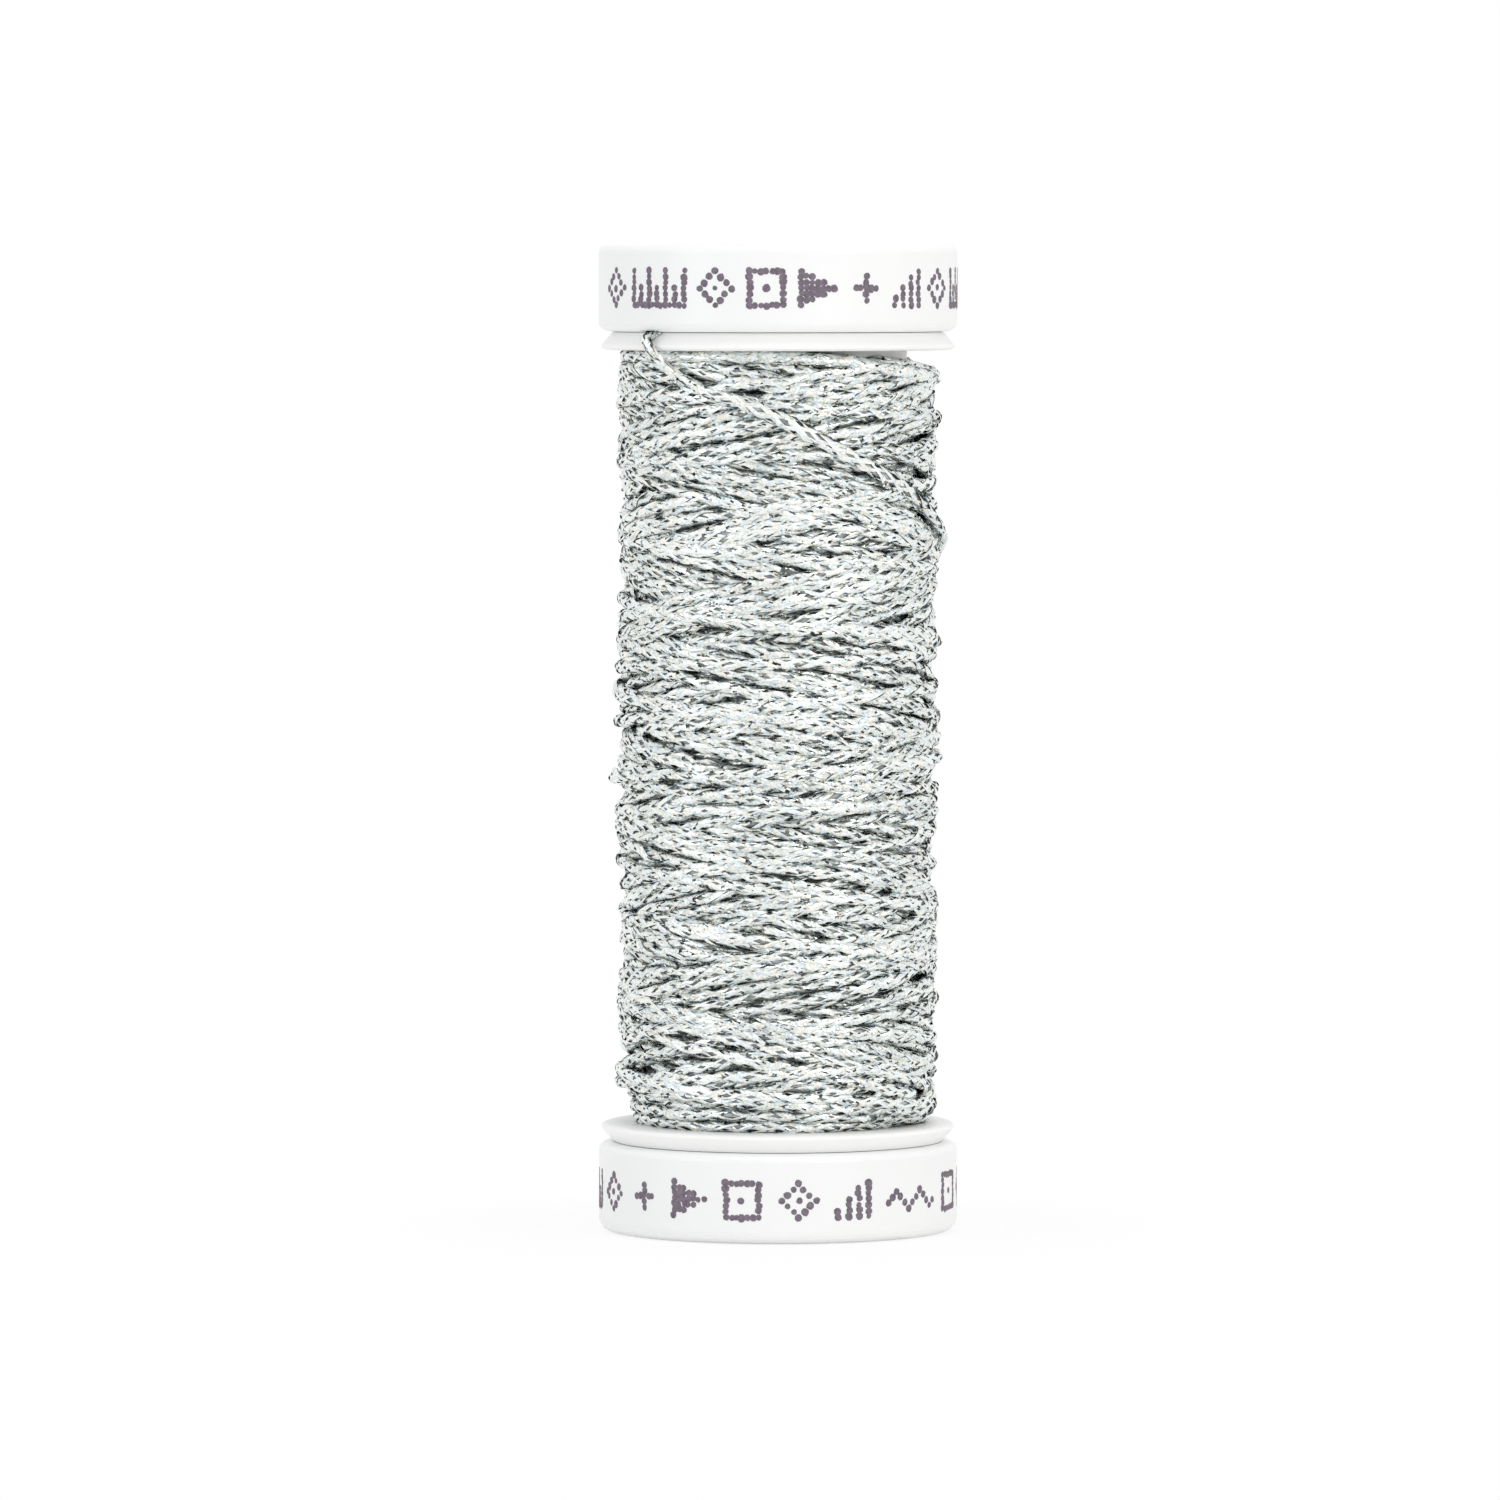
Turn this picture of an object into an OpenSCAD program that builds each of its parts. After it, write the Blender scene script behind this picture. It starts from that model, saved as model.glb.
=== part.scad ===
// Snap spool of metallic braid: a barrel with two flanges, a snap cap on each end,
// the wound thread and its tail, which is pressed between the top cap and its flange.
// Millimetres. Origin at the centre of the base, +Z up along the spool's axis.
// Azimuths are in degrees, counted from -Y towards +X.

/* [Spool] */
// Diameter of both end caps
cap_d = 20; // [19.5:0.1:26]
// Height of the bottom cap, from its outer face to the end of its skirt
cap_h = 5; // [4.5:0.1:8]
// Height of the top cap
top_cap_h = 4.78; // [4.5:0.01:8]
// Length of barrel between the two flanges
winding_length = 43.16; // [36:0.01:70]
// Diameter of the bore that takes a spool pin
pin_bore_d = 7; // [5:0.1:7.6]

/* [Barrel] */
// Outer diameter of the barrel
barrel_d = 14.4; // [13.8:0.1:15]
// Wall of the barrel
barrel_wall = 1.2; // [0.8:0.05:1.4]
// Thickness of a flange
flange_t = 1; // [0.8:0.05:1.6]
// How far a flange's rim lies inside the cap's rim
flange_inset = 0.13; // [0.05:0.01:0.3]
// How far a flange's bevel comes in at the cap's side
flange_bevel = 0.65; // [0.2:0.05:0.9]
// Height of the straight land on a flange's rim
flange_land = 0.25; // [0.05:0.05:0.4]
// How far in a flange's rim is rounded on the thread's side
rim_in = 0.45; // [0.05:0.05:0.8]
// Height of the rounding of a flange's rim
rim_h = 0.2; // [0.05:0.05:0.25]

/* [Caps] */
// Wall of a cap's skirt
skirt_wall = 1.2; // [0.8:0.05:1.6]
// Rounding of the bottom cap's outer edge
foot_r = 0.7; // [0.1:0.05:0.75]
// Rounding of the top cap's outer edge
crown_r = 0.4; // [0.1:0.05:0.75]
// How far a skirt's rounded shoulder comes in beside the flange
shoulder_in = 0.7; // [0.1:0.05:0.8]
// Height of a skirt's rounded shoulder
shoulder_h = 0.45; // [0.1:0.05:0.8]
// Depth of the recess in a cap's outer face
web_recess = 0.8; // [0.3:0.05:1.2]
// Thickness of a cap's web
web_t = 1.2; // [0.8:0.05:1.6]
// Wall of the hub round the bore
hub_wall = 0.8; // [0.6:0.05:0.9]
// Width of the ring that a flange seats on
seat_w = 0.9; // [0.5:0.05:1.2]
// Clearance between the seat ring and the flange
seat_gap = 0.05; // [0.02:0.01:0.15]
// Clearance between a skirt's end and the flange
nip_gap = 0.03; // [0.02:0.01:0.4]
// Depth of the notch in the top skirt's end, where the tail is nipped
notch_depth = 0.09; // [0.06:0.01:0.3]
// Width of the notch
notch_w = 1.4; // [1.2:0.1:2]

/* [Snap legs] */
// Number of snap legs on a cap
leg_count = 4; // [3:1:6]
// Thickness of a snap leg
leg_t = 0.9; // [0.6:0.05:1]
// Clearance between the legs and the barrel's wall
leg_clearance = 0.1; // [0.05:0.01:0.15]
// Width of the slot between two legs
slot_w = 1.6; // [0.8:0.1:2.4]
// How far a cap lifts until its beads stop it
snap_travel = 1.5; // [0.8:0.1:2.5]
// Depth of wall left between the barrel's mouth and its groove
groove_lip = 1.5; // [0.8:0.1:2.5]
// Chamfer that leads the beads into the barrel's mouth
mouth_chamfer = 0.35; // [0.1:0.05:0.6]
// Length of a bead along the axis
bead_len = 0.8; // [0.5:0.1:1.4]
// How far a bead stands out of its leg
bead_h = 0.3; // [0.15:0.05:0.35]
// Clearance between a bead and its groove
bead_play = 0.1; // [0.05:0.01:0.15]
// Length of a leg past its bead
leg_tip = 0.5; // [0.3:0.1:1.2]

/* [Thread] */
// Diameter of the braided thread
thread_d = 0.6; // [0.4:0.05:0.7]
// Outer diameter of the wound thread
pack_d = 17.6; // [16.8:0.1:18.2]
// Space between the last turn and the top flange
pack_top_gap = 0.35; // [0.1:0.05:1]
// Turns shown of the outer layer
loops = 24; // [12:1:24]
// How far a turn strays up and down the barrel
sway = 0.85; // [0:0.05:0.85]
// Clearance between the thread and what it lies on
lay_gap = 0.05; // [0.02:0.01:0.1]
// Thickness of the tail where the cap presses it flat
pressed_t = 0.07; // [0.05:0.01:0.08]
// Width of the tail where the cap presses it flat
pressed_w = 1; // [0.6:0.05:1.2]

/* [Hidden] */

$fn = 96;

plastic = [0.96, 0.96, 0.95];
silver = [0.78, 0.81, 0.80];
core_silver = [0.66, 0.69, 0.68];

cap_r = cap_d / 2;
pin_r = pin_bore_d / 2;
hub_r = pin_r + hub_wall;
skirt_in_r = cap_r - skirt_wall;
web_top = web_recess + web_t;

barrel_r = barrel_d / 2;
barrel_in_r = barrel_r - barrel_wall;
flange_r = cap_r - flange_inset;
flange_root_r = flange_r - flange_bevel;

// Heights up the axis
low_mouth_z = cap_h + nip_gap;
low_face_z = low_mouth_z + flange_t;
top_face_z = low_face_z + winding_length;
top_mouth_z = top_face_z + flange_t;
total_h = top_mouth_z + nip_gap + top_cap_h;
barrel_mid_z = (low_mouth_z + top_mouth_z) / 2;

// The legs reach through the barrel's mouth, and their beads run in its groove
leg_r = barrel_in_r - leg_clearance;
leg_in_r = leg_r - leg_t;
bead_r = leg_r + bead_h;
groove_r = bead_r + bead_play;
groove_z = low_mouth_z + groove_lip;
groove_len = snap_travel + bead_len + 2 * bead_play;
bead_up = groove_lip + snap_travel + bead_play;
leg_up = bead_up + bead_len + leg_tip;
slot_reach = (groove_r + barrel_r) / 2;
seat_in_r = (barrel_in_r + barrel_r + seat_w) / 2;

// The thread's outer layer runs at turn_r over the plain core
thread_r = thread_d / 2;
pack_r = pack_d / 2;
turn_r = pack_r - thread_r;
ring_step = 360 / 24;
chord_dip = turn_r * (1 - cos(ring_step / 2));
core_r = turn_r - thread_r - chord_dip - lay_gap / 2;
core_low_z = low_face_z + thread_d + 2 * lay_gap;
core_top_z = top_face_z - pack_top_gap - thread_d - lay_gap;
core_round = min(0.3, (core_r - barrel_r) / 2);

first_z = low_face_z + thread_r + lay_gap;
last_z = top_face_z - pack_top_gap - thread_r;
pitch = (last_z - first_z) / loops;
sway_rate = 1.125;
sway_phase = -150;
sway_fade = 2;
start_az = 180;

// A tube's end leaves the barrel square and bends into the first turn
stub_r = barrel_r + lay_gap / 2;
bend_r = turn_r - stub_r - thread_d;
bend_az = bend_r / turn_r * 180 / PI;
bend_steps = [22.5, 45, 67.5];
winding_sides = 6;

// The tail rides on the pack, passes over the top flange's rim and enters the nip
ride_r = pack_r + thread_r + lay_gap;
rim_r = flange_r + thread_r + lay_gap;
nip_z = top_mouth_z + (nip_gap + notch_depth) / 2;
notch_az = -47.5;
tail_sides = 8;

// Each point is an azimuth, a height, a radius and how far the thread is pressed flat
tail_route = [
    [notch_az, nip_z, skirt_in_r - 0.4, 1],
    [notch_az, nip_z, skirt_in_r + 0.3, 1],
    [notch_az, nip_z, skirt_in_r + 0.6, 1],
    [notch_az + 0.2, nip_z - 0.16, flange_r - 0.3, 0.6],
    [notch_az + 0.6, nip_z - 0.35, flange_r, 0.2],
    [-46.2, nip_z - 0.47, rim_r - 0.08, 0],
    [-45.2, nip_z - 0.66, rim_r, 0],
    [-43.6, nip_z - 1, rim_r, 0],
    [-42.4, nip_z - 1.3, rim_r - 0.1, 0],
    [-41.5, nip_z - 1.6, rim_r - 0.4, 0],
    [-40.4, nip_z - 2, ride_r + 0.35, 0],
    [-38.2, nip_z - 2.35, ride_r + 0.15, 0],
    [-33, nip_z - 2.77, ride_r + 0.05, 0],
    [-26, nip_z - 3.22, ride_r, 0],
    [-18, nip_z - 3.6, ride_r, 0],
    [-10, nip_z - 3.97, ride_r, 0],
    [-2, nip_z - 4.55, ride_r, 0],
    [6, nip_z - 5.15, ride_r, 0],
    [14, nip_z - 5.85, ride_r, 0],
    [22, nip_z - 6.55, ride_r, 0],
    [30, nip_z - 7.2, ride_r, 0],
    [38, nip_z - 7.75, ride_r, 0],
    [47, nip_z - 8.3, ride_r, 0],
    [56, nip_z - 9.05, ride_r, 0],
    [65, nip_z - 9.75, ride_r, 0],
    [74, nip_z - 10.5, ride_r, 0],
    [83, nip_z - 11.25, ride_r, 0],
    [91, nip_z - 11.9, ride_r, 0],
    [97, nip_z - 12.4, ride_r, 0],
    [101.5, nip_z - 12.8, ride_r - 0.08, 0],
    [103, nip_z - 12.95, ride_r - 0.4, 0],
    [103.3, nip_z - 12.95, core_r + lay_gap / 2, 0],
];

function unit(v) = v / norm(v);
function place(az, z, r) = [r * sin(az), -r * cos(az), z];
function mix(a, b, t) = a + (b - a) * t;

// Points of an arc in the profile's plane
function arc(centre, rx, ry, from, to, steps = 5) = [
    for (k = [0:steps]) let (a = mix(from, to, k / steps)) centre + [rx * cos(a), ry * sin(a)]
];

// Unit directions along a path
function headings(path) = [
    for (i = [0:len(path) - 1])
        unit(path[min(i + 1, len(path) - 1)] - path[max(i - 1, 0)])
];

// A vector square to the path, carried along it from +Z without twist
function carried(dirs) = [
    for (i = 0, v = unit([0, 0, 1] - dirs[0].z * dirs[0]); i < len(dirs);
         i = i + 1, v = i < len(dirs) ? unit(v - (v * dirs[i]) * dirs[i]) : v) v
];

// Rings of a tube: halves[i] is the half thickness and half width at point i
function tube_rings(path, halves, sides) =
    let (dirs = headings(path), ups = carried(dirs))
    [for (i = [0:len(path) - 1]) let (side = cross(ups[i], dirs[i]))
        [for (k = [0:sides - 1]) path[i]
            + halves[i][0] * cos(360 * k / sides) * ups[i]
            + halves[i][1] * sin(360 * k / sides) * side]];

function tube_faces(rings, sides) = concat(
    [for (i = [0:rings - 2], k = [0:sides - 1], half = [0, 1])
        let (a = i * sides + k, b = i * sides + (k + 1) % sides)
        half == 0 ? [a, a + sides, b] : [b, a + sides, b + sides]],
    [for (k = [1:sides - 2]) [0, k, k + 1]],
    [for (k = [1:sides - 2]) let (end = (rings - 1) * sides) [end, end + k + 1, end + k]]
);

// Height of the outer layer after a number of turns
function turn_z(turns) =
    let (fade = min(1, turns / sway_fade, (loops - turns) / sway_fade))
    first_z + pitch * turns + sway * fade * sin(360 * sway_rate * turns + sway_phase);

// Path of the outer layer: a square end, a bend, the turns, a bend and a square end
function bend_point(az, z, a) = place(az, z, turn_r - bend_r * (1 - sin(a)));
winding_path = concat(
    [place(start_az, first_z, stub_r), place(start_az, first_z, stub_r + thread_d)],
    [for (a = bend_steps) bend_point(start_az - bend_az * (1 - cos(a)), first_z, a)],
    [for (i = [0:24 * loops]) place(start_az - bend_az - ring_step * i, turn_z(i / 24), turn_r)],
    [for (a = [67.5, 45, 22.5])
        bend_point(start_az - bend_az * (1 + cos(a)), last_z, a)],
    [place(start_az - 2 * bend_az, last_z, stub_r + thread_d), place(start_az - 2 * bend_az, last_z, stub_r)]
);

tail_path = [for (p = tail_route) place(p[0], p[1], p[2])];
tail_halves = [
    for (p = tail_route) [mix(thread_d, pressed_t, p[3]), mix(thread_d, pressed_w, p[3])] / 2
];

// Distance from a point to the stretch between two others
function to_stretch(p, a, b) =
    let (t = (p - a) * (b - a) / ((b - a) * (b - a)))
    norm(p - mix(a, b, max(0, min(1, t))));

winding_gap = min([
    for (i = [0:len(winding_path) - 14], j = [i + 12:min(i + 36, len(winding_path) - 2)])
        to_stretch(winding_path[i], winding_path[j], winding_path[j + 1])
]) - thread_d;
tail_gap = min([
    for (p = tail_path, j = [0:len(winding_path) - 2])
        to_stretch(p, winding_path[j], winding_path[j + 1])
]) - thread_d;
echo(str("thread_winding: least gap to itself ", winding_gap, " mm"));
echo(str("thread_tail: least gap to the winding ", tail_gap, " mm"));

// Half section of one cap, standing on its outer face. h is the height of its skirt.
module cap_section(edge_r, h) {
    mouth = h + nip_gap;
    bead_at = mouth + bead_up;
    polygon(concat(
        [[skirt_in_r, 0]],
        arc([cap_r - edge_r, edge_r], edge_r, edge_r, -90, 0),
        arc([cap_r - shoulder_in, h - shoulder_h], shoulder_in, shoulder_h, 0, 90),
        [[skirt_in_r, h]]
    ));
    translate([pin_r, web_recess]) square([skirt_in_r - pin_r + skirt_wall / 2, web_t]);
    translate([pin_r, 0]) square([hub_wall, mouth]);
    translate([seat_in_r, web_recess]) square([seat_w, mouth - seat_gap - web_recess]);
    polygon([
        [leg_in_r, web_recess],
        [leg_r, web_recess],
        [leg_r, bead_at],
        [bead_r, bead_at],
        [bead_r, bead_at + bead_len / 2],
        [leg_r, bead_at + bead_len],
        [leg_r - leg_clearance, mouth + leg_up],
        [leg_in_r, mouth + leg_up],
    ]);
}

// One cap: skirt, web, hub and seat ring, with the leg ring slotted into snap legs
module cap(edge_r, h) {
    leg_top = h + nip_gap + leg_up;
    difference() {
        rotate_extrude() cap_section(edge_r, h);
        difference() {
            for (i = [0:leg_count - 1]) rotate(360 * i / leg_count)
                translate([0, -slot_w / 2, web_top]) cube([slot_reach, slot_w, leg_top]);
            translate([0, 0, web_recess]) cylinder(r = (hub_r + leg_in_r) / 2, h = leg_top);
        }
    }
}

// Half section of one end of the barrel, up to mid height. The flange's bevel faces
// the cap; the mouth is chamfered, and the groove behind it takes the cap's beads.
module barrel_end_section() {
    polygon([
        [barrel_in_r + mouth_chamfer, low_mouth_z],
        [flange_root_r, low_mouth_z],
        [flange_r, low_face_z - flange_land],
        each arc([flange_r - rim_in, low_face_z - rim_h], rim_in, rim_h, 0, 90, 4),
        [barrel_r, low_face_z],
        [barrel_r, barrel_mid_z],
        [barrel_in_r, barrel_mid_z],
        [barrel_in_r, groove_z + groove_len],
        [groove_r, groove_z + groove_len],
        [groove_r, groove_z],
        [barrel_in_r, groove_z],
        [barrel_in_r, low_mouth_z + mouth_chamfer],
    ]);
}

module barrel() {
    color(plastic) {
        rotate_extrude() barrel_end_section();
        translate([0, 0, 2 * barrel_mid_z]) mirror([0, 0, 1]) rotate_extrude() barrel_end_section();
    }
}

module bottom_cap() {
    color(plastic) cap(foot_r, cap_h);
}

// The end of its skirt has a shallow notch that nips the tail against the flange
module top_cap() {
    notch_in_r = skirt_in_r - skirt_wall / 4;
    color(plastic) translate([0, 0, total_h]) mirror([0, 0, 1]) difference() {
        cap(crown_r, top_cap_h);
        rotate(notch_az) translate([-notch_w / 2, -cap_r - notch_w, top_cap_h - notch_depth])
            cube([notch_w, cap_r + notch_w - notch_in_r, notch_depth + notch_w]);
    }
}

// The inner layers, as one plain sleeve
module thread_core() {
    color(core_silver) rotate_extrude() polygon(concat(
        [[barrel_r, core_low_z]],
        arc([core_r - core_round, core_low_z + core_round], core_round, core_round, -90, 0, 2),
        arc([core_r - core_round, core_top_z - core_round], core_round, core_round, 0, 90, 2),
        [[barrel_r, core_top_z]]
    ));
}

module thread_winding() {
    rings = tube_rings(winding_path, [for (p = winding_path) [thread_r, thread_r]], winding_sides);
    color(silver)
        polyhedron([for (r = rings) each r], tube_faces(len(rings), winding_sides), convexity = 10);
}

module thread_tail() {
    rings = tube_rings(tail_path, tail_halves, tail_sides);
    color(silver)
        polyhedron([for (r = rings) each r], tube_faces(len(rings), tail_sides), convexity = 10);
}

barrel();
top_cap();
bottom_cap();
thread_core();
thread_winding();
thread_tail();
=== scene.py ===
# Snap spool of silver metallic braid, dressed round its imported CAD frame.
# Lengths are in millimetres until they reach Blender. Azimuths run from -Y towards +X.
import math

import bpy
import numpy as np
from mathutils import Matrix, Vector


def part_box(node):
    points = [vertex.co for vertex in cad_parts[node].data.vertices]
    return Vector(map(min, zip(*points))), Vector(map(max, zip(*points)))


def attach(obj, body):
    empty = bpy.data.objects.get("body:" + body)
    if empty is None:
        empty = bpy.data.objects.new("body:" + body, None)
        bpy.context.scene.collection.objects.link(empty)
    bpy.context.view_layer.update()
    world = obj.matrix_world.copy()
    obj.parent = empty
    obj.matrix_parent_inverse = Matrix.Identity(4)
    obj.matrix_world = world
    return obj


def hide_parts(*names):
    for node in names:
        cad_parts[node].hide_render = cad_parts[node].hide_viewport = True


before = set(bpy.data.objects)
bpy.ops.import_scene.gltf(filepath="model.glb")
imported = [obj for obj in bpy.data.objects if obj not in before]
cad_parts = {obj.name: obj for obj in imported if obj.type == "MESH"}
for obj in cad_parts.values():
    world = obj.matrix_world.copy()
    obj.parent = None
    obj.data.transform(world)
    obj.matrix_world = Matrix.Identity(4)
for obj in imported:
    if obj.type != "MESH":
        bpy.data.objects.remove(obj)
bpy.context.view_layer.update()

MM = 0.001
TAU = 2 * math.pi

# ---------------------------------------------------------------- sizes of the frame
BARREL_TOP_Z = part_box("barrel")[1][2] / MM
BARREL_LOW_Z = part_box("barrel")[0][2] / MM
CAP_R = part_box("bottom_cap")[1][0] / MM
FLANGE_T = 1
BARREL_R = 7.2
LOW_FACE_Z = BARREL_LOW_Z + FLANGE_T
TOP_FACE_Z = BARREL_TOP_Z - FLANGE_T
# The tail is nipped in the middle of a notch, this far above the barrel
NOTCH_MID = 0.06
NIP_Z = BARREL_TOP_Z + NOTCH_MID

# ---------------------------------------------------------------- the thread's sizes
HALF_WIDTH = 0.32
HALF_THICK = 0.26
PACK_R = 8.8
FLANGE_ROOM = 0.01
LOW_Z = LOW_FACE_Z + HALF_WIDTH + FLANGE_ROOM
HIGH_Z = TOP_FACE_Z - HALF_WIDTH - FLANGE_ROOM
# Distance from one point of the thread's path to the next
STEP = 0.22
SEED = 7

# Inner turns, laid by a guide that runs up and down the barrel
INNER_TURNS = 172
CYCLE_TURNS = 8.062
CYCLE_SPREAD = 0.03
# Room for the last legs to end in before the outer turns begin, in turns
LAST_LEG, LAST_JOIN = 4, 1
# How far short of its ends the guide may turn back, and how much higher than LOW_Z its lower end is
TOP_SLACK, LOW_SLACK = 0.5, 0.9
LOW_RISE = 0.9

# Outer turns: the guide goes up, stays under the top flange, comes down, and goes up to the tail
OUTER_TURNS = 32
REACHES_TOP, LEAVES_TOP, REACHES_LOW = 10, 13, 25
# How far the guide strays from an even pace, turn by turn
OUTER_UNEVEN = 1.1
TURNS = INNER_TURNS + OUTER_TURNS
# The azimuth at which the turns end and the tail begins
END_AZ = 103

# How the guide's way is rounded, and how the strand sways on it: sizes in mm, reaches in turns
GUIDE_SMOOTHING = 0.07
SLOW_SWAY, SLOW_REACH = 0.08, 0.12
QUICK_SWAY, QUICK_REACH = 0.04, 0.04
# The slow sway falls to this share over the last inner turns
OUTER_SWAY, SWAY_FADE = 0.2, 0.5

# How far the pack stays clear of the top flange on this side: at the barrel, and the growth outwards
CORNER_AZ = 85
CORNER_LEAST, CORNER_GROWTH = 0.35, 0.85

# The height map on which the thread is laid: columns round the barrel, and the height of a row
MAP_COLUMNS, ROW_H = 720, 0.05
# Map columns that one step of the path covers
STEP_COLUMNS = 4
# Added to the half width, so that the strand's profile still has some height at its edges
PROFILE_ROOM = 0.01
# How far a turn may slide aside into a groove, the map rows from one place that is tried to the
# next, and how firmly the inner and outer turns resist it
SLIDE, SLIDE_ROWS = 0.7, 2
INNER_STIFF, OUTER_STIFF = 0.25, 2.0
# Places that differ in height by less than this are about as good as each other
GROOVE_SENSE = 0.03
# Steps over which a slide is evened out, and steps of the last slide that are taken along
SLIDE_SMOOTHING, SLIDE_HELD = 20, 60
# A strand rests on this share of the highest point below it and this share of their mean
HIGHEST_SHARE, MEAN_SHARE = 0.6, 0.4
# Turns that come out beyond this radius are pressed in, and keep this share of the rest
SQUASH_R, SQUASH_KEEP = 8.5, 0.28
# A strand bridges dips over this many steps, with steps of the last turn taken along, and never
# sinks further than this into what lies below
BRIDGE, BRIDGE_HELD = 2.5, 8
SINK = 0.05
# Thread that lies deeper than this below the pack's surface is left as its heart. To count as
# seen, this many rows of its profile lie higher
SEEN_DEPTH, SEEN_ROWS = 0.34, 2

# Loose places of the outer turns: turn, azimuth, rise off the pack, reach in degrees
LOOSE = [(19, -88, 0.45, 12), (19, 85, 0.25, 9), (20, -85, 0.12, 9), (30, -250, 0.4, 12)]
# Swellings of the pack: azimuth, height, rise and reach in height
BULGES = [
    (-92, 29.2, 0.3, 2.2), (-88, 45.4, 0.2, 1.2), (-90, 21.6, 0.2, 1.2), (-95, 8.6, 0.16, 1.5),
    (92, 45.4, 0.2, 1.6), (90, 39.2, 0.28, 1), (88, 29.4, 0.2, 1), (90, 25.2, 0.12, 1),
    (150, 17, 0.25, 2.2), (-150, 38, 0.25, 2), (180, 27, 0.2, 1.8), (165, 46, 0.15, 1.5),
    (-140, 12, 0.2, 1.6),
]
# Their reach round the pack in degrees, and the power with which they grow from turn to turn
BULGE_SPREAD, BULGE_GROWTH = 28, 6

# The tail lies on the pack as far as this azimuth, and then rises to the nip. Each point of the
# route is an azimuth, a depth below the nip, a radius and how far the tail is pressed flat
TAIL_LIES_TO = -26
TAIL_ROUTE = [
    (-26, 3.22, 9.15, 0), (-33, 2.77, 9.2, 0), (-38.2, 2.35, 9.3, 0), (-40.4, 2, 9.5, 0),
    (-41.5, 1.6, 9.82, 0), (-42.4, 1.3, 10.12, 0), (-43.6, 1, 10.22, 0), (-45.2, 0.66, 10.22, 0),
    (-46.2, 0.47, 10.14, 0), (-46.9, 0.35, 9.87, 0.2), (-47.3, 0.16, 9.57, 0.6), (-47.5, 0, 9.4, 1),
    (-47.5, 0, 9.1, 1), (-47.5, 0, 8.4, 1),
]
# Where it lies: azimuth and depth below the nip
TAIL_LYING = [
    (103, 12.95), (97, 12.4), (91, 11.9), (83, 11.25), (74, 10.5), (65, 9.75), (56, 9.05),
    (47, 8.3), (38, 7.75), (30, 7.2), (22, 6.55), (14, 5.85), (6, 5.15), (-2, 4.55), (-10, 3.97),
    (-18, 3.6), (-26, 3.22),
]
# Its rise off the pack there, at these azimuths
TAIL_LIFT_AZ, TAIL_LIFT = [TAIL_LIES_TO, 40, 80, END_AZ], [0.18, 0.24, 0.3, 0.1]
# Steps over which the last turn runs into the tail, and over which the tail goes slack
TAIL_JOIN, SLACK_STEPS = 6, 60
# Steps before the tail in which the thread is drawn whole, and steps by which the tail's piece
# overlaps the winding's last ribbons
TAIL_LEAD, TAIL_OVERLAP = 60, 2
# Points of the route over which it leaves the pack's own height for the listed radius
LEAVING_POINTS = 3
# Where lying turns to rising: steps that are smoothed, passes of that, steps in which the braid
# turns taut, and steps from which its normals are carried on
RISE_JOIN, RISE_PASSES, TAUT_STEPS, CARRY_STEPS = 4, 2, 12, 20
TAIL_WIDTH, TAIL_THICK = 0.28, 0.23
SLACK_WIDTH = 0.42
PRESSED_WIDTH, PRESSED_THICK = 0.5, 0.03

# ---------------------------------------------------------------- the braid's sizes
# Film ribbons wind both ways round a thin heart
RIBBONS = 8
BRAID_LAY = 5.4
RIBBON_W = 0.285
RIBBON_CROWN = 0.03
# A ribbon's section: where the crown's corners are, as a share of the half width, and the drop of
# its edges, as a share of the crown
CROWN_AT, EDGE_DROP = 0.33, 0.3
# A ribbon's place as a share of the braid's half size, and its rise and dip at the crossings
RIBBON_AT, CROSSING_RISE = 0.9, 0.055
# How a ribbon strays round the braid, off it, in tilt and in width: size, and reach in steps
ROUND_STRAY, ROUND_REACH = 0.2, 6
OFF_STRAY, OFF_REACH = 0.04, 5
TILT_STRAY, TILT_REACH = 0.24, 1.5
WIDTH_STRAY, WIDTH_REACH = 0.2, 3
WIDTH_LEAST, WIDTH_MOST = -2, 1.5
# Snags, where a ribbon stands out: their rise, reach in steps and rarity
SNAG_RISE, SNAG_REACH, SNAG_RARITY = 0.6, 3, 1.8
# The heart: a ring at every third point, as a share of the braid's half size
HEART_SIDES, HEART_STEP, HEART_SHARE = 6, 3, 0.6

# Share of dark flecks, which are painted shade in the gaps between filaments, and dimmest tone of the
# other facets, on the pack and on the taut tail
# The taut tail is painted lighter with fewer flecks, partly since its ribbons lie tight and partly as
# painted light where it lies on top
PACK_GLITTER, TAIL_GLITTER = (0.06, 0.56), (0.035, 0.64)
# The other facets' tones, painted glints from the dimmest at 0 to the brightest at 1: shares of
# facets, and tones
TONE_SHARES, TONES = [0, 0.25, 0.75, 1], [0, 0.37, 0.71, 1]
LONGEST_FACET = 2
SHADE_FLECK_TONE = 0.06
# Painted shade flecks on the middle of the braid, and how many more there are at its sides, where more
# shade falls
MIDDLE_FLECKS, SIDE_FLECKS = 0.4, 2.4
# Facets across a ribbon, and the tone of its underside and ends
LANES, UNDER_TONE = 3, 0.3
# Painted shade: how much darker the film is painted down the sides of the braid, where shade falls
# between it and its neighbours
SIDE_SHADE = 0.2
# How far the film's tone wanders from one stretch of braid to the next, its reach in steps, and
# the most that it strays, as a multiple of the first
SHEEN, SHEEN_REACH, SHEEN_MOST = 0.08, 25, 2
# Shortest run of steps that is drawn, and steps added at each end of a run
SHORTEST_RUN, RUN_ENDS = 4, 4
# A piece ends at this many corners, which keeps it under 200,000 triangles
PIECE_CORNERS = 55_000

rng = np.random.default_rng(SEED)


# ---------------------------------------------------------------- helpers
def unit(v):
    """Vectors of length 1. The small number only keeps a zero vector from dividing by zero."""
    return v / np.maximum(np.linalg.norm(v, axis=-1, keepdims=True), 1e-12)


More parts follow.
